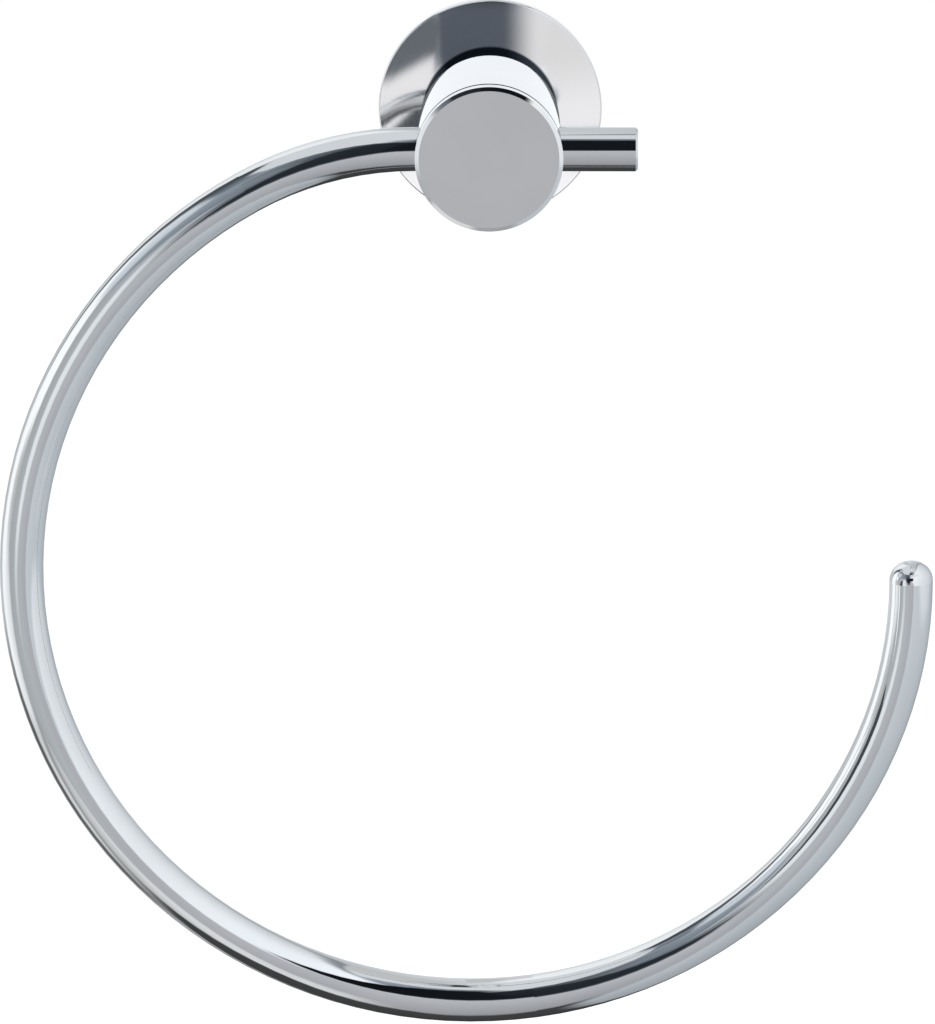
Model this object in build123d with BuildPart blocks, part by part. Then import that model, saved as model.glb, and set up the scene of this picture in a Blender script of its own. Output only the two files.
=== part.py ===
from build123d import *
import math
import os

# Towel ring: a bent rod held in a turned post, on a domed rosette over a hidden wall plate.
# Millimetres. The origin is on the wall, on the post's axis. +X is right, +Z is up, the front faces -Y.

# Rod and ring, bends given as radius of the rod's axis and turn in degrees
rod_d = 10.0
rod_offset = 41.0  # rod axis from the wall
stub_reach = 33.6  # straight end, from the post's axis
stub_edge = 0.5  # edge break at the square-cut end
shoulder_radius = 77.2
shoulder_turn = 29.4
belly_radius = 102.7
belly_turn = 158.9
tail_radius = 100.1
tail_turn = 84.7
tip_flat_d = 1.2  # the free end is a half ball but for this small flat

# Post and front cap
cap_d = 33.5
cap_t = 3.5
cap_bevel = 0.9  # shallow slope round the cap's face, measured along the radius
cap_bevel_depth = 0.3
joint_gap = 0.8  # shadow groove between cap and post
joint_depth = 0.6
post_front_edge = 0.15
cap_spigot_d = 20.0
cap_spigot_t = 0.7
front_wall = 0.8  # metal between the rod's bore and the cap's recess
post_back_d = 31.9
post_back_edge = 0.5
neck_d = 20.0
neck_length = 9.2
neck_shoulder = 2.5  # width of the neck's face that sits on the rosette
spigot_wall = 1.4

# Rosette, a thin spun dome with a flat seat for the neck
rosette_d = 51.2
rosette_wall = 1.2
rosette_edge = 0.6  # rounding at the rim
dome_radius = 60.0  # centred on the post's axis
seat_margin = 0.4

# Wall plate and its boss
plate_t = 3.0
plate_headroom = 0.8
boss_land = 3.0  # flat between the boss and a screw's head
boss_past_grub = 4.0
boss_edge = 0.6
groove_depth = 0.8
screw_hole_d = 4.6
screw_head_d = 8.0
screw_edge = 1.0  # land between a screw's head and the plate's edge

# Set screws
grub_d = 5.0
grub_sink = 0.4
grub_tip_d = 1.2
grub_key = 2.5
clamp_d = 6.0
clamp_length = 10.0
clamp_edge = 0.5
clamp_key = 3.0
key_depth = 2.0

# Clearances
rod_clearance = 0.05
boss_clearance = 0.1
spigot_clearance = 0.1
thread_clearance = 0.05
groove_side = 0.1  # room beside the set screw's point
face_gap = 0.05  # where one face stops just short of another
end_gap = 0.5

# Sizes that follow
rod_r = rod_d / 2
bore_r = rod_r + rod_clearance
tip_rounding = rod_r - tip_flat_d / 2
rosette_r = rosette_d / 2
neck_r = neck_d / 2
spigot_r = neck_r - neck_shoulder
socket_r = spigot_r - spigot_wall
boss_r = socket_r - boss_clearance
rosette_hole_r = spigot_r + spigot_clearance
groove_floor = grub_tip_d + 2 * groove_side
screw_station = boss_r + boss_land + screw_head_d / 2
screw_spacing = 2 * screw_station
plate_r = screw_station + screw_head_d / 2 + screw_edge
seat_r = neck_r + seat_margin
inner_dome_radius = dome_radius - rosette_wall


def dome_drop(radius, reach):
    return math.sqrt(radius**2 - seat_r**2) - math.sqrt(radius**2 - reach**2)


def circles(edges, radius):
    round_edges = edges.filter_by(GeomType.CIRCLE)
    return round_edges.filter_by(lambda edge: math.isclose(edge.radius, radius, abs_tol=1e-6))


# The cover is as deep as the plate beneath it needs
seat_height = (
    plate_t + plate_headroom + rosette_wall + dome_drop(inner_dome_radius, plate_r)
)
rim_height = seat_height - dome_drop(dome_radius, rosette_r)
rim_rounding = min(rosette_edge, rim_height)
inner_rim_height = seat_height - rosette_wall - dome_drop(
    inner_dome_radius, rosette_r - rosette_wall
)
post_back = seat_height + neck_length
grub_station = seat_height + neck_length / 2
boss_reach = grub_station + boss_past_grub
socket_floor = boss_reach + end_gap
spigot_end = plate_t + end_gap
recess_depth = cap_spigot_t + face_gap
post_front = rod_offset + bore_r + front_wall + recess_depth
projection = post_front + cap_t
taper = (cap_d - post_back_d) / 2 / (post_front - post_back)
post_r_at_rod = post_back_d / 2 + taper * (rod_offset - post_back)

os.makedirs("parts", exist_ok=True)

# Wall plate: flat back on the wall, boss with a groove for the set screw's point
with BuildPart() as wall_plate:
    with BuildSketch(Plane.XY):
        with BuildLine():
            Polyline(
                (0, 0),
                (plate_r, 0),
                (plate_r, -plate_t),
                (boss_r, -plate_t),
                (boss_r, -grub_station + groove_floor / 2 + groove_depth),
                (boss_r - groove_depth, -grub_station + groove_floor / 2),
                (boss_r - groove_depth, -grub_station - groove_floor / 2),
                (boss_r, -grub_station - groove_floor / 2 - groove_depth),
                (boss_r, -boss_reach + boss_edge),
                (boss_r - boss_edge, -boss_reach),
                (0, -boss_reach),
                close=True,
            )
        make_face()
    revolve(axis=Axis.Y)
    with Locations(Plane.XZ.offset(plate_t)):
        with GridLocations(screw_spacing, 0, 2, 1):
            CounterSinkHole(screw_hole_d / 2, screw_head_d / 2, depth=plate_t)
wall_plate.part.label = "wall_plate"
export_step(wall_plate.part, "parts/wall_plate.step")

# Rosette: flat seat round the hole, then a dome out to the rounded rim, hollow behind
with BuildPart() as rosette:
    with BuildSketch(Plane.XY):
        with BuildLine():
            outer_seat = Line((rosette_hole_r, -seat_height), (seat_r, -seat_height))
            outer_dome = RadiusArc(outer_seat @ 1, (rosette_r, -rim_height), -dome_radius)
            Line(outer_dome @ 1, (rosette_r, 0))
            Line((rosette_r, 0), (rosette_r - rosette_wall, 0))
            inner_rim = Line(
                (rosette_r - rosette_wall, 0), (rosette_r - rosette_wall, -inner_rim_height)
            )
            inner_dome = RadiusArc(
                inner_rim @ 1, (seat_r, rosette_wall - seat_height), inner_dome_radius
            )
            inner_seat = Line(inner_dome @ 1, (rosette_hole_r, rosette_wall - seat_height))
            Line(inner_seat @ 1, outer_seat @ 0)
        make_face()
    revolve(axis=Axis.Y)
    rim_edges = circles(rosette.edges(), rosette_r)
    fillet(rim_edges.sort_by(Axis.Y)[0], radius=rim_rounding)
rosette.part.label = "rosette"
export_step(rosette.part, "parts/rosette.step")

# Post: drum that narrows to the back, neck, and a spigot that passes through the rosette
with BuildPart() as post:
    with BuildSketch(Plane.XY):
        with BuildLine():
            Polyline(
                (0, -spigot_end),
                (spigot_r, -spigot_end),
                (spigot_r, -seat_height),
                (neck_r, -seat_height),
                (neck_r, -post_back),
                (post_back_d / 2, -post_back),
                (cap_d / 2, -post_front),
                (0, -post_front),
                close=True,
            )
        make_face()
    revolve(axis=Axis.Y)
    chamfer(circles(post.edges(), cap_d / 2), length=post_front_edge)
    fillet(circles(post.edges(), post_back_d / 2), radius=post_back_edge)
    # Cross-bore for the rod
    with BuildSketch(Plane.YZ):
        with Locations((-rod_offset, 0)):
            Circle(bore_r)
    extrude(amount=cap_d, both=True, mode=Mode.SUBTRACT)
    # Socket for the boss, and the tapped hole behind the rod
    with BuildSketch(Plane.XZ):
        Circle(socket_r)
    extrude(amount=socket_floor, mode=Mode.SUBTRACT)
    with BuildSketch(Plane.XZ):
        Circle(clamp_d / 2)
    extrude(amount=rod_offset, mode=Mode.SUBTRACT)
    # Recess for the cap
    with BuildSketch(Plane.XZ.offset(post_front - recess_depth)):
        Circle(cap_spigot_d / 2 + spigot_clearance)
    extrude(amount=recess_depth, mode=Mode.SUBTRACT)
    # Tapped hole for the set screw, from below
    with BuildSketch(Plane.XY):
        with Locations((0, -grub_station)):
            Circle(grub_d / 2)
    extrude(amount=-neck_d, mode=Mode.SUBTRACT)
post.part.label = "post"
export_step(post.part, "parts/post.step")

# Front cap: flat face that slopes off at its edge, a groove behind its rim, and a short spigot
with BuildPart() as front_cap:
    with BuildSketch(Plane.XY):
        with BuildLine():
            Polyline(
                (0, -post_front + cap_spigot_t),
                (cap_spigot_d / 2, -post_front + cap_spigot_t),
                (cap_spigot_d / 2, -post_front),
                (cap_d / 2 - joint_depth, -post_front),
                (cap_d / 2 - joint_depth, -post_front - joint_gap),
                (cap_d / 2, -post_front - joint_gap),
                (cap_d / 2, -projection + cap_bevel_depth),
                (cap_d / 2 - cap_bevel, -projection),
                (0, -projection),
                close=True,
            )
        make_face()
    revolve(axis=Axis.Y)
front_cap.part.label = "front_cap"
export_step(front_cap.part, "parts/front_cap.step")

# Ring: stub and straight run through the post, then three bends that run into each other
with BuildPart() as ring:
    with BuildLine(Plane.XZ.offset(rod_offset)):
        run = Line((stub_reach, 0), (-post_r_at_rod, 0))
        shoulder = JernArc(run @ 1, run % 1, shoulder_radius, shoulder_turn)
        belly = JernArc(shoulder @ 1, shoulder % 1, belly_radius, belly_turn)
        tail = JernArc(belly @ 1, belly % 1, tail_radius, tail_turn)
    with BuildSketch(Plane(run @ 0, z_dir=run % 0)):
        Circle(rod_r)
    sweep()
    chamfer(circles(ring.edges(), rod_r).sort_by_distance(run @ 0)[0], length=stub_edge)
    fillet(circles(ring.edges(), rod_r).sort_by_distance(tail @ 1)[0], radius=tip_rounding)
ring.part.label = "ring"
export_step(ring.part, "parts/ring.step")

# Set screw under the neck: cone point in the boss's groove, hexagon socket below
grub_tip = boss_r - groove_depth + face_gap
grub_end = neck_r - grub_sink
grub_r = grub_d / 2 - thread_clearance
with BuildPart() as neck_grub_screw:
    with BuildSketch(Plane.YZ):
        with BuildLine():
            Polyline(
                (-grub_station, -grub_tip),
                (-grub_station + grub_tip_d / 2, -grub_tip),
                (-grub_station + grub_r, -grub_tip - grub_r + grub_tip_d / 2),
                (-grub_station + grub_r, -grub_end),
                (-grub_station, -grub_end),
                close=True,
            )
        make_face()
    revolve(axis=Axis((0, -grub_station, 0), (0, 0, 1)))
    with BuildSketch(Plane.XY.offset(-grub_end)):
        with Locations((0, -grub_station)):
            RegularPolygon(grub_key / 2, 6, major_radius=False)
    extrude(amount=key_depth, mode=Mode.SUBTRACT)
neck_grub_screw.part.label = "neck_grub_screw"
export_step(neck_grub_screw.part, "parts/neck_grub_screw.step")

# Set screw behind the rod: flat point with a broken edge, hexagon socket towards the wall
clamp_tip = rod_offset - rod_r
clamp_end = clamp_tip - clamp_length
clamp_r = clamp_d / 2 - thread_clearance
with BuildPart() as ring_clamp_screw:
    with BuildSketch(Plane.XY):
        with BuildLine():
            Polyline(
                (0, -clamp_end),
                (clamp_r, -clamp_end),
                (clamp_r, -clamp_tip + clamp_edge),
                (clamp_r - clamp_edge, -clamp_tip),
                (0, -clamp_tip),
                close=True,
            )
        make_face()
    revolve(axis=Axis.Y)
    with BuildSketch(Plane.XZ.offset(clamp_end)):
        RegularPolygon(clamp_key / 2, 6, major_radius=False)
    extrude(amount=key_depth, mode=Mode.SUBTRACT)
ring_clamp_screw.part.label = "ring_clamp_screw"
export_step(ring_clamp_screw.part, "parts/ring_clamp_screw.step")

print("projection", round(projection, 2), "rosette depth", round(seat_height, 2))
print("screw spacing", round(screw_spacing, 2), "post back", round(post_back, 2))
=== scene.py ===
import bpy
import math
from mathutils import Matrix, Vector


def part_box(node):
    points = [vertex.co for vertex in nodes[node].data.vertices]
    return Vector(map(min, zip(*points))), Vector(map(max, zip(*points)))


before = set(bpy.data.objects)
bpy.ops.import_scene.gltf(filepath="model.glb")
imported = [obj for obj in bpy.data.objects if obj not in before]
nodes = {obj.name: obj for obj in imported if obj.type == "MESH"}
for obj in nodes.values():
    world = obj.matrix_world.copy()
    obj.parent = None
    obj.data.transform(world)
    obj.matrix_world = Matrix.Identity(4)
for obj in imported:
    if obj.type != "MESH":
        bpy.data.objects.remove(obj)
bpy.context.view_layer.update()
scene = bpy.context.scene
print("frame loaded:", ", ".join(sorted(nodes)))


# small helpers for node trees

noiseSpan = (0.30, 0.70)  # most of a noise texture's values lie between these
cloudSpan = (0.35, 0.70)  # the same for the slow clouds on the plate


def addNode(tree, kind, **settings):
    node = tree.nodes.new(kind)
    for key, value in settings.items():
        setattr(node, key, value)
    return node


def feed(tree, socket, value):
    if isinstance(value, bpy.types.NodeSocket):
        tree.links.new(value, socket)
    else:
        socket.default_value = value


def calc(tree, operation, first, second=0.0):
    node = addNode(tree, "ShaderNodeMath", operation=operation)
    feed(tree, node.inputs[0], first)
    feed(tree, node.inputs[1], second)
    return node.outputs[0]


def remap(tree, value, fromMin, fromMax, toMin=0.0, toMax=1.0, kind="LINEAR"):
    node = addNode(tree, "ShaderNodeMapRange", interpolation_type=kind)
    feed(tree, node.inputs["Value"], value)
    feed(tree, node.inputs["From Min"], fromMin)
    feed(tree, node.inputs["From Max"], fromMax)
    feed(tree, node.inputs["To Min"], toMin)
    feed(tree, node.inputs["To Max"], toMax)
    return node.outputs["Result"]


def blendColours(tree, factor, first, second):
    node = addNode(tree, "ShaderNodeMix", data_type="RGBA")
    feed(tree, node.inputs["Factor"], factor)
    feed(tree, node.inputs["A"], first)
    feed(tree, node.inputs["B"], second)
    return node.outputs["Result"]


def objectNoise(tree, scale, detail=2.0, stretch=(1.0, 1.0, 1.0)):
    coords = addNode(tree, "ShaderNodeTexCoord")
    mapping = addNode(tree, "ShaderNodeMapping")
    mapping.inputs["Scale"].default_value = stretch
    tree.links.new(coords.outputs["Object"], mapping.inputs["Vector"])
    noise = addNode(tree, "ShaderNodeTexNoise")
    noise.inputs["Scale"].default_value = scale
    noise.inputs["Detail"].default_value = detail
    tree.links.new(mapping.outputs["Vector"], noise.inputs["Vector"])
    return noise.outputs["Fac"]


def objectPlace(tree):
    coords = addNode(tree, "ShaderNodeTexCoord")
    parts = addNode(tree, "ShaderNodeSeparateXYZ")
    tree.links.new(coords.outputs["Object"], parts.inputs["Vector"])
    return parts.outputs


# distance from the post's axis, which runs along Y

def axisRadius(tree):
    place = objectPlace(tree)
    acrossSquared = calc(tree, "MULTIPLY", place["X"], place["X"])
    upSquared = calc(tree, "MULTIPLY", place["Z"], place["Z"])
    return calc(tree, "SQRT", calc(tree, "ADD", acrossSquared, upSquared))


# helpers for the part's own finishes

def newMaterial(name):
    material = bpy.data.materials.new(name)
    material.use_nodes = True
    tree = material.node_tree
    return material, tree, tree.nodes["Principled BSDF"]


def setFinish(tree, shader, colour, gloss, metal=1.0):
    tree.links.new(colour, shader.inputs["Base Color"])
    tree.links.new(gloss, shader.inputs["Roughness"])
    shader.inputs["Metallic"].default_value = metal


def addBump(tree, shader, height, depth):
    bump = addNode(tree, "ShaderNodeBump")
    bump.inputs["Distance"].default_value = depth
    tree.links.new(height, bump.inputs["Height"])
    tree.links.new(bump.outputs["Normal"], shader.inputs["Normal"])


def coat(nodeName, material):
    mesh = nodes[nodeName].data
    mesh.materials.clear()
    mesh.materials.append(material)


# bright chrome plate on the ring, the post and the cap

ringLook = {
    "name": "ringChrome",
    "base": (0.786, 0.809, 0.822), "cloudy": (0.756, 0.780, 0.794),
    "gloss": (0.018, 0.042), "cloudScale": 38.0, "smearScale": 900.0,
    "grazing": (0.66, 0.69, 0.72),
}
postLook = {
    "name": "postChrome",
    "base": (0.800, 0.808, 0.815), "cloudy": (0.775, 0.783, 0.792),
    "gloss": (0.020, 0.045), "cloudScale": 55.0, "smearScale": 1100.0,
    # on the post, the dark colour and the added roughness are painted shade for the joint and the drum's
    # back
    "dullAndShade": (0.07, 0.08, 0.095), "shadedFaceGloss": 0.45,
    "jointDepth": 0.0002, "drumBack": -0.01612, "neckRadius": 0.0105,
}
capLook = {
    "name": "capChrome",
    "base": (0.802, 0.808, 0.815), "cloudy": (0.780, 0.786, 0.794),
    "gloss": (0.020, 0.040), "cloudScale": 60.0, "smearScale": 1200.0,
}


# painted shade: a dark, rougher colour on the joint under the cap and on the drum's back, where shade
# falls between the parts

def paintedShadeFaces(tree, look):
    depth = objectPlace(tree)["Y"]
    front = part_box("post")[0][1] + look["jointDepth"]
    inJoint = calc(tree, "LESS_THAN", depth, front)
    behindDrum = calc(tree, "GREATER_THAN", depth, look["drumBack"])
    offNeck = calc(tree, "GREATER_THAN", axisRadius(tree), look["neckRadius"])
    return calc(tree, "MAXIMUM", inJoint, calc(tree, "MULTIPLY", behindDrum, offNeck))


def chromePlate(look):
    material, tree, shader = newMaterial(look["name"])
    clouds = objectNoise(tree, look["cloudScale"], detail=3.0)
    smears = objectNoise(tree, look["smearScale"], detail=4.0)
    cloudyFactor = remap(tree, clouds, *cloudSpan, kind="SMOOTHSTEP")
    colour = blendColours(tree, cloudyFactor, (*look["base"], 1), (*look["cloudy"], 1))
    gloss = remap(tree, smears, *noiseSpan, *look["gloss"])
    # painted shade on the joint and the drum's back, not the chrome's own colour
    if "dullAndShade" in look:
        paintedShade = paintedShadeFaces(tree, look)
        colour = blendColours(tree, paintedShade, colour, (*look["dullAndShade"], 1))
        gloss = calc(tree, "ADD", gloss, calc(tree, "MULTIPLY", paintedShade, look["shadedFaceGloss"]))
    setFinish(tree, shader, colour, gloss)
    if "grazing" in look:
        shader.inputs["Specular Tint"].default_value = (*look["grazing"], 1)  # thin dark outline
    return material


coat("ring", chromePlate(ringLook))
coat("post", chromePlate(postLook))
coat("front_cap", chromePlate(capLook))
print("chrome on ring, post and cap")


# spun rosette: fine turning lines round the post's axis draw its reflections out along the radius
# neckShade is a painted reflection: a dark ring between shadeInner and shadeOuter, standing in for the
# drum's dark back mirrored in the rosette

rosetteLook = {
    "name": "rosetteSpunChrome",
    "base": (0.790, 0.788, 0.800), "cloudy": (0.755, 0.753, 0.767), "cloudScale": 45.0,
    "gloss": (0.07, 0.12), "lineSpacing": 0.00035, "lineDepth": 0.0000006,
    "stretch": 0.5, "stretchTurn": 0.25, "metal": 0.95,
    "neckShade": (0.030, 0.040, 0.055),
    "shadeInner": (0.0120, 0.0127), "shadeOuter": (0.0152, 0.0158),
}


def turningLines(tree, radius, spacing):
    lines = addNode(tree, "ShaderNodeTexNoise", noise_dimensions="1D")
    lines.inputs["Scale"].default_value = 1.0 / spacing
    lines.inputs["Detail"].default_value = 2.0
    tree.links.new(radius, lines.inputs["W"])
    return lines.outputs["Fac"]


def spunChrome(look):
    material, tree, shader = newMaterial(look["name"])
    radius = axisRadius(tree)
    lines = turningLines(tree, radius, look["lineSpacing"])
    clouds = objectNoise(tree, look["cloudScale"], detail=3.0)
    colour = blendColours(tree, clouds, (*look["base"], 1), (*look["cloudy"], 1))
    # painted reflection: the dark ring round the neck where the rosette would mirror the drum's back
    pastInner = remap(tree, radius, *look["shadeInner"], kind="SMOOTHSTEP")
    beforeOuter = remap(tree, radius, *look["shadeOuter"], 1.0, 0.0, kind="SMOOTHSTEP")
    underDrum = calc(tree, "MULTIPLY", pastInner, beforeOuter)
    colour = blendColours(tree, underDrum, colour, (*look["neckShade"], 1))
    gloss = remap(tree, lines, *noiseSpan, *look["gloss"])
    setFinish(tree, shader, colour, gloss, look["metal"])  # not quite all metal, for a faint haze
    addBump(tree, shader, lines, look["lineDepth"])
    around = addNode(tree, "ShaderNodeTangent", direction_type="RADIAL", axis="Y")
    tree.links.new(around.outputs["Tangent"], shader.inputs["Tangent"])
    shader.inputs["Anisotropic"].default_value = look["stretch"]
    shader.inputs["Anisotropic Rotation"].default_value = look["stretchTurn"]
    return material


coat("rosette", spunChrome(rosetteLook))
nodes["rosette"].visible_glossy = False  # the drum mirrors the white wall behind instead
print("spun chrome on the rosette")


# cast zinc wall plate, seen from behind

zincLook = {
    "name": "castZinc",
    "pale": (0.50, 0.50, 0.49), "dullAndShade": (0.34, 0.345, 0.35), "stainScale": 70.0,
    "gloss": (0.38, 0.62), "skinScale": 420.0, "skinDepth": 0.00004,
}


def castZinc(look):
    material, tree, shader = newMaterial(look["name"])
    stains = objectNoise(tree, look["stainScale"], detail=4.0)
    skin = objectNoise(tree, look["skinScale"], detail=5.0)
    dullFactor = remap(tree, stains, *noiseSpan)
    colour = blendColours(tree, dullFactor, (*look["pale"], 1), (*look["dullAndShade"], 1))
    setFinish(tree, shader, colour, remap(tree, stains, *noiseSpan, *look["gloss"]))
    addBump(tree, shader, skin, look["skinDepth"])
    return material


# plain steel set screws

screwLook = {
    "name": "screwSteel",
    "pale": (0.46, 0.45, 0.44), "dullAndShade": (0.30, 0.295, 0.29),
    "gloss": (0.22, 0.42), "markScale": 600.0, "markStretch": (1.0, 1.0, 6.0),
}


def screwSteel(look):
    material, tree, shader = newMaterial(look["name"])
    marks = objectNoise(tree, look["markScale"], detail=3.0, stretch=look["markStretch"])
    dullFactor = remap(tree, marks, *noiseSpan)
    colour = blendColours(tree, dullFactor, (*look["pale"], 1), (*look["dullAndShade"], 1))
    setFinish(tree, shader, colour, remap(tree, marks, *noiseSpan, *look["gloss"]))
    return material


coat("wall_plate", castZinc(zincLook))
steel = screwSteel(screwLook)
coat("neck_grub_screw", steel)
coat("ring_clamp_screw", steel)
print("zinc plate and steel screws")


# helpers for the studio

chromeShine = 0.80  # share of the light that the chrome gives back


def pointing(azimuth, elevation):
    turn = math.radians(azimuth)
    rise = math.radians(elevation)
    return Vector((math.sin(turn) * math.cos(rise), -math.cos(turn) * math.cos(rise), math.sin(rise)))


# the light that chrome shows as an 8-bit grey level, by the sRGB curve

def glow(level, tint):
    shown = level / 255
    light = ((shown + 0.055) / 1.055) ** 2.4 / chromeShine
    return (light * tint[0], light * tint[1], light * tint[2], 1)


def lightMaterial(name):
    material = bpy.data.materials.new(name)
    material.use_nodes = True
    material.cycles.emission_sampling = "NONE"
    tree = material.node_tree
    tree.nodes.clear()
    shine = addNode(tree, "ShaderNodeEmission")
    output = addNode(tree, "ShaderNodeOutputMaterial")
    return material, tree, shine, output


def addSheet(name, size, place, turn=(0, 0, 0)):
    bpy.ops.object.select_all(action="DESELECT")
    bpy.ops.mesh.primitive_plane_add(size=1, location=place, rotation=turn)
    sheet = bpy.context.object
    sheet.name = name
    sheet.scale = (*size, 1)
    bpy.ops.object.transform_apply(location=True, rotation=True, scale=True)
    return sheet


def showInMirrorsOnly(thing):
    thing.visible_camera = False
    thing.visible_diffuse = False
    thing.visible_shadow = False


# studio dome that the chrome reflects: azimuth 0 faces the camera and plus is to the right
# az and el are an item's edges in degrees, round squares its corners, soft fades its edge
# level is the grey at its left and right edge, lift scales the light from bottom to top
# tilt is how much its height climbs to the right

plain = (1.0, 1.0, 1.0)
cool = (0.940, 1.0, 1.055)
slate = (0.88, 1.0, 1.14)
pale = (0.97, 1.0, 1.03)
navy = (0.80, 0.98, 1.28)
lilac = (0.985, 0.985, 1.03)

domeLook = {
    "name": "studioDome", "centre": (0, -0.041, -0.10), "radius": 1.2, "segments": 96, "rings": 48,
    "level": 62,
}

studioItems = [
    {"name": "room above the floor", "az": (-260, 260), "el": (-24, 130), "round": 8, "soft": 0.10,
     "level": (210, 210), "tint": pale},
    {"name": "ceiling, right", "az": (85, 178), "el": (30, 84), "round": 3, "soft": 0.25,
     "level": (191, 188)},
    {"name": "ceiling's far corner", "az": (150, 170), "el": (74, 92), "round": 3, "soft": 0.35,
     "level": (165, 130)},
    {"name": "white screen, left", "az": (-205, -131), "el": (-20, 60), "round": 5, "soft": 0.12,
     "level": (240, 240)},
    {"name": "screen's foot", "az": (-158, -122), "el": (-16, 14), "round": 2.5, "soft": 0.5,
     "level": (200, 200)},
    {"name": "screen's edge", "az": (-196, -172), "el": (20, 62), "round": 4, "soft": 0.35,
     "level": (190, 195)},
    {"name": "white screen, right", "az": (157, 200), "el": (-22, 34), "round": 4, "soft": 0.15,
     "level": (186, 236)},
    {"name": "left floor glow", "az": (-166, -50), "el": (-56, -20), "round": 2.8, "soft": 0.22,
     "level": (190, 140)},
    {"name": "front floor", "az": (-19, 18), "el": (-76, 12), "round": 6, "soft": 0.16,
     "level": (183, 175), "lift": (0.66, 1.08), "tint": lilac},
    {"name": "low white card", "az": (-66, -12), "el": (-56, -30), "round": 3, "soft": 0.22,
     "level": (180, 222)},
    {"name": "card's corner", "az": (-33, -15), "el": (-66, -30), "round": 2.4, "soft": 0.5,
     "level": (216, 210)},
    {"name": "grey wall", "az": (-90, -10), "el": (-31, 32), "round": 6, "soft": 0.10,
     "level": (163, 180), "tint": pale},
    {"name": "lamp glow", "az": (-44, -24), "el": (-16, 17), "round": 2.2, "soft": 0.40,
     "level": (228, 226), "tilt": -0.25, "tint": pale},
    {"name": "dark curtain", "az": (-76, -6), "el": (26, 55), "round": 5, "soft": 0.12,
     "level": (160, 100), "tilt": 0.06, "tint": slate},
    {"name": "curtain's inner fold", "az": (-30, -12), "el": (12, 52), "round": 3, "soft": 0.35,
     "level": (128, 56), "tint": slate},
    {"name": "curtain's top fold", "az": (-56, -4), "el": (42, 55.5), "round": 4, "soft": 0.22,
     "level": (140, 26), "tint": slate},
    {"name": "left box frame", "az": (-133, -76), "el": (2, 56.5), "round": 2.3, "soft": 0.09,
     "level": (52, 104), "lift": (3.4, 0.7), "tint": slate},
    {"name": "frame's top bar", "az": (-124, -56), "el": (47, 56), "round": 3, "soft": 0.20,
     "level": (44, 140), "tint": slate},
    {"name": "left soft box", "az": (-121, -75), "el": (-32, 41), "round": 2.2, "soft": 0.20,
     "level": (252, 252)},
    {"name": "box hood", "az": (-104, -66), "el": (26, 47), "round": 3, "soft": 0.25,
     "level": (222, 195), "tint": cool},
    {"name": "box foot", "az": (-104, -66), "el": (-34, -11), "round": 2.6, "soft": 0.30,
     "level": (252, 215)},
    {"name": "box hinge", "az": (-94, -70), "el": (-11, 5), "round": 2, "soft": 0.6,
     "level": (205, 172)},
    {"name": "left floor", "az": (-142, -106), "el": (-53, -24), "round": 2.8, "soft": 0.30,
     "level": (90, 104), "tilt": -0.2},
    {"name": "floor patch", "az": (-107, -82), "el": (-50, -31), "round": 2.2, "soft": 0.50,
     "level": (205, 215)},
    {"name": "right floor", "az": (16, 162), "el": (-80, 10), "round": 3.2, "soft": 0.05,
     "level": (210, 196), "lift": (0.64, 1.0), "tint": cool},
    {"name": "shade fringe", "az": (-10, 42), "el": (47, 71), "round": 3, "soft": 0.22,
     "level": (85, 165), "tint": slate},
    {"name": "right box frame", "az": (12, 160), "el": (-12, 68.5), "round": 2.25, "soft": 0.015,
     "level": (140, 140), "tint": cool},
    {"name": "right soft box", "az": (8, 156.5), "el": (-19, 66), "round": 2.2, "soft": 0.06,
     "level": (254, 206), "lift": (0.82, 1.02), "tint": pale},
    {"name": "shade's foot", "az": (-14, -3.5), "el": (0, 16), "round": 3, "soft": 0.20,
     "level": (84, 84), "tint": slate},
    {"name": "camera shade, left", "az": (-21, 4), "el": (5.5, 52), "round": 4, "soft": 0.14,
     "level": (46, 30), "tilt": 0.3, "tint": navy},
    {"name": "camera shade", "az": (-5, 17), "el": (11.5, 63), "round": 5, "soft": 0.10,
     "level": (26, 16), "tint": navy},
    {"name": "wall behind, left", "az": (-200, -164), "el": (-18, 20), "round": 4, "soft": 0.15,
     "level": (236, 236), "tint": pale},
    {"name": "wall behind, right", "az": (164, 200), "el": (-18, 20), "round": 4, "soft": 0.15,
     "level": (236, 236), "tint": pale},
]


def directionAngles(tree, centre):
    coords = addNode(tree, "ShaderNodeTexCoord")
    fromCentre = addNode(tree, "ShaderNodeVectorMath", operation="SUBTRACT")
    fromCentre.inputs[1].default_value = centre
    unit = addNode(tree, "ShaderNodeVectorMath", operation="NORMALIZE")
    parts = addNode(tree, "ShaderNodeSeparateXYZ")
    tree.links.new(coords.outputs["Object"], fromCentre.inputs[0])
    tree.links.new(fromCentre.outputs["Vector"], unit.inputs[0])
    tree.links.new(unit.outputs["Vector"], parts.inputs["Vector"])
    towardsCamera = calc(tree, "MULTIPLY", parts.outputs["Y"], -1.0)
    azimuth = calc(tree, "DEGREES", calc(tree, "ARCTAN2", parts.outputs["X"], towardsCamera))
    elevation = calc(tree, "DEGREES", calc(tree, "ARCSINE", parts.outputs["Z"]))
    return azimuth, elevation


def offCentre(tree, angle, low, high):
    middle = (low + high) / 2
    half = (high - low) / 2
    return calc(tree, "ABSOLUTE", calc(tree, "DIVIDE", calc(tree, "SUBTRACT", angle, middle), half))


def itemMask(tree, item, azimuth, height):
    across = offCentre(tree, azimuth, *item["az"])
    upright = offCentre(tree, height, *item["el"])
    corner = item["round"]
    powers = calc(tree, "ADD", calc(tree, "POWER", across, corner), calc(tree, "POWER", upright, corner))
    reach = calc(tree, "POWER", powers, 1 / corner)
    return remap(tree, reach, 1 + item["soft"], 1 - item["soft"], kind="SMOOTHSTEP")


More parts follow.
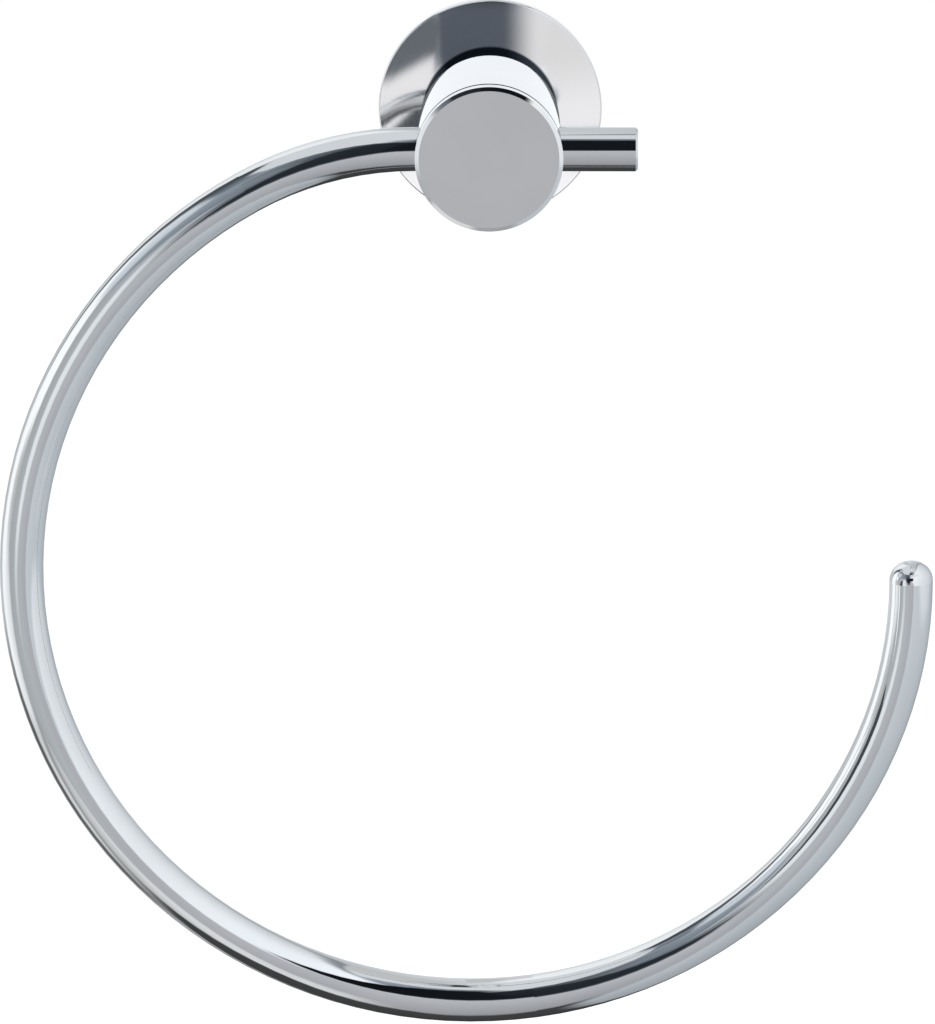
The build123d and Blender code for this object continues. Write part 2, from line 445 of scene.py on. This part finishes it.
def itemShade(tree, item, azimuth, height):
    tint = item.get("tint", plain)
    left, right = item["level"]
    shade = blendColours(tree, remap(tree, azimuth, *item["az"]), glow(left, tint), glow(right, tint))
    if "lift" not in item:
        return shade
    lift = addNode(tree, "ShaderNodeVectorMath", operation="SCALE")
    tree.links.new(shade, lift.inputs[0])
    tree.links.new(remap(tree, height, *item["el"], *item["lift"]), lift.inputs["Scale"])
    return lift.outputs["Vector"]


# each item is painted over the ones before it

def paintStudio(tree, look):
    azimuth, elevation = directionAngles(tree, look["centre"])
    colour = glow(look["level"], plain)
    for item in studioItems:
        left, right = item["az"]
        fromMiddle = calc(tree, "SUBTRACT", azimuth, (left + right) / 2)
        climb = calc(tree, "MULTIPLY", fromMiddle, item.get("tilt", 0.0))
        height = calc(tree, "SUBTRACT", elevation, climb)
        shade = itemShade(tree, item, azimuth, height)
        colour = blendColours(tree, itemMask(tree, item, azimuth, height), colour, shade)
    return colour


def buildDome(look):
    bpy.ops.object.select_all(action="DESELECT")
    bpy.ops.mesh.primitive_uv_sphere_add(
        segments=look["segments"], ring_count=look["rings"], radius=look["radius"], location=look["centre"]
    )
    dome = bpy.context.object
    dome.name = look["name"]
    bpy.ops.object.transform_apply(location=True, rotation=True, scale=True)
    material, tree, shine, output = lightMaterial(look["name"])
    tree.links.new(paintStudio(tree, look), shine.inputs["Color"])
    tree.links.new(shine.outputs["Emission"], output.inputs["Surface"])
    dome.data.materials.append(material)
    showInMirrorsOnly(dome)


buildDome(domeLook)
print("studio dome with", len(studioItems), "items")


# flags and cards for one piece each, the rosette or the cap's bevel
# each stands at a distance from the point it serves, and shows only to rays of that length
# fade is the direction and the two places between which its levels change, level is one grey all over

flagLooks = [
    {"name": "leftFlag", "from": (-0.015, -0.008, 0.010), "distance": 0.253,
     "azimuth": -41, "elevation": 5, "width": 0.140, "height": 0.236, "rays": (0.2495, 0.310),
     "fade": ((-0.838, 0, 1), 0.158, 0.188), "levels": (234, 96), "tints": (plain, slate)},
    {"name": "lowFlag", "from": (-0.018, -0.005, 0.000), "distance": 0.250,
     "azimuth": -38, "elevation": -15, "width": 0.135, "height": 0.160, "rays": (0.2440, 0.290),
     "fade": ((-1.346, 0, 1), 0.148, 0.170), "levels": (70, 234), "tints": (slate, plain)},
    {"name": "middleFlag", "from": (-0.004, -0.008, 0.015), "distance": 0.253,
     "azimuth": 2.7, "elevation": 22, "width": 0.254, "height": 0.140, "rays": (0.2495, 0.310),
     "fade": ((1, 0, 0), 0.026, 0.110), "levels": (79, 222), "tints": (navy, plain)},
    {"name": "rightCard", "from": (0.015, -0.008, 0.036), "distance": 0.253,
     "azimuth": 42.5, "elevation": 0, "width": 0.160, "height": 0.268, "rays": (0.2455, 0.295),
     "fade": ((0, 0, 1), -0.070, 0.080), "levels": (240, 220), "tints": (plain, plain)},
    {"name": "bevelFlag", "from": (0.009, -0.051, 0.014), "distance": 0.249,
     "azimuth": 18.2, "elevation": 15.4, "width": 0.075, "height": 0.085, "rays": (0.2445, 0.2580),
     "fade": ((1, 0, 0), 0.084, 0.108), "levels": (20, 240), "tints": (navy, plain)},
]
for side, cardName in ((-1, "lowCardLeft"), (1, "lowCardRight")):
    flagLooks.append({
        "name": cardName, "from": (side * 0.016, -0.004, -0.018), "distance": 0.200,
        "azimuth": side * 41, "elevation": -48, "width": 0.080, "height": 0.070, "rays": (0.190, 0.212),
        "level": 252,
    })


def flagShade(tree, look):
    if "fade" not in look:
        return glow(look["level"], plain)
    coords = addNode(tree, "ShaderNodeTexCoord")
    direction, start, end = look["fade"]
    place = addNode(tree, "ShaderNodeVectorMath", operation="DOT_PRODUCT")
    place.inputs[1].default_value = direction
    tree.links.new(coords.outputs["Object"], place.inputs[0])
    along = remap(tree, place.outputs["Value"], start, end, kind="SMOOTHSTEP")
    shades = [glow(level, tint) for level, tint in zip(look["levels"], look["tints"])]
    return blendColours(tree, along, *shades)


def flagMaterial(look):
    material, tree, shine, output = lightMaterial(look["name"])
    feed(tree, shine.inputs["Color"], flagShade(tree, look))
    rayLength = addNode(tree, "ShaderNodeLightPath").outputs["Ray Length"]
    shortest, longest = look["rays"]
    farEnough = calc(tree, "GREATER_THAN", rayLength, shortest)
    nearEnough = calc(tree, "LESS_THAN", rayLength, longest)
    clear = addNode(tree, "ShaderNodeBsdfTransparent")
    mix = addNode(tree, "ShaderNodeMixShader")
    tree.links.new(calc(tree, "MULTIPLY", farEnough, nearEnough), mix.inputs["Fac"])
    tree.links.new(clear.outputs["BSDF"], mix.inputs[1])
    tree.links.new(shine.outputs["Emission"], mix.inputs[2])
    tree.links.new(mix.outputs["Shader"], output.inputs["Surface"])
    return material


def buildFlag(look):
    away = pointing(look["azimuth"], look["elevation"])
    middle = Vector(look["from"]) + away * look["distance"]
    facing = (-away).to_track_quat("Z", "Y").to_euler()
    flag = addSheet(look["name"], (look["width"], look["height"]), middle, facing)
    flag.data.materials.append(flagMaterial(look))
    showInMirrorsOnly(flag)


for flagLook in flagLooks:
    buildFlag(flagLook)
print("flags and cards:", len(flagLooks))


# white studio air: white to the camera and in mirrors, a pale fill on the floor

worldLook = {"name": "studioAir", "fill": (0.62, 0.62, 0.63, 1), "seen": (1.0, 1.0, 1.0, 1)}


def buildWorld(look):
    world = bpy.data.worlds.new(look["name"])
    scene.world = world
    world.use_nodes = True
    tree = world.node_tree
    rays = addNode(tree, "ShaderNodeLightPath")
    mirrored = calc(tree, "MAXIMUM", rays.outputs["Is Glossy Ray"], rays.outputs["Is Transmission Ray"])
    seen = calc(tree, "MAXIMUM", rays.outputs["Is Camera Ray"], mirrored)
    colour = blendColours(tree, seen, look["fill"], look["seen"])
    tree.links.new(colour, tree.nodes["Background"].inputs["Color"])


buildWorld(worldLook)


# pale floor below the ring: white to the camera, keeps the soft shadow, left out of the chrome

floorLook = {
    "name": "studioFloor", "height": -0.30, "size": (16.0, 16.0),
    "colour": (0.82, 0.82, 0.82, 1), "grain": 0.02, "grainScale": 30.0, "roughness": 0.9,
    "lift": 0.42, "liftColour": (1, 1, 1, 1),
}


def buildFloor(look):
    floor = addSheet(look["name"], look["size"], (0, 0, look["height"]))
    material, tree, shader = newMaterial(look["name"])
    grain = objectNoise(tree, look["grainScale"], detail=4.0)
    shade = remap(tree, grain, *noiseSpan, 1.0 - look["grain"], 1.0)
    colour = blendColours(tree, shade, (0, 0, 0, 1), look["colour"])
    tree.links.new(colour, shader.inputs["Base Color"])
    shader.inputs["Roughness"].default_value = look["roughness"]
    rays = addNode(tree, "ShaderNodeLightPath")
    lift = calc(tree, "MULTIPLY", rays.outputs["Is Camera Ray"], look["lift"])
    shader.inputs["Emission Color"].default_value = look["liftColour"]
    tree.links.new(lift, shader.inputs["Emission Strength"])
    floor.data.materials.append(material)
    floor.visible_glossy = False


buildFloor(floorLook)


# one large soft lamp overhead, which gives the floor its shadow

lampLook = {
    "name": "overheadLamp", "place": (0.25, -0.45, 1.35), "aim": (0, -0.03, -0.1),
    "size": 1.1, "power": 9.0,
}


def buildLamp(look):
    data = bpy.data.lights.new(look["name"], "AREA")
    data.shape = "DISK"
    data.size = look["size"]
    data.energy = look["power"]
    lamp = bpy.data.objects.new(look["name"], data)
    scene.collection.objects.link(lamp)
    lamp.location = look["place"]
    aim = Vector(look["aim"]) - lamp.location
    lamp.rotation_euler = aim.to_track_quat("-Z", "Y").to_euler()
    lamp.visible_glossy = False  # the chrome shows the painted studio instead


buildLamp(lampLook)
print("studio air, floor and lamp")


# camera at the photograph's angle: a long lens from slightly above

cameraLook = {
    "name": "camera", "azimuth": 0.397, "elevation": 15.6, "distance": 2.525,
    "target": (-0.004907, -0.041, -0.08514),
    "focalPixels": 11071.86, "framePixels": 1024, "sensor": 36.0,
}


def buildCamera(look):
    away = pointing(look["azimuth"], look["elevation"])
    data = bpy.data.cameras.new(look["name"])
    data.sensor_width = look["sensor"]
    data.lens = look["focalPixels"] * look["sensor"] / look["framePixels"]
    camera = bpy.data.objects.new(look["name"], data)
    scene.collection.objects.link(camera)
    camera.location = Vector(look["target"]) + away * look["distance"]
    camera.rotation_euler = (-away).to_track_quat("-Z", "Y").to_euler()
    scene.camera = camera


buildCamera(cameraLook)
scene.view_settings.view_transform = "Standard"
print("camera set")
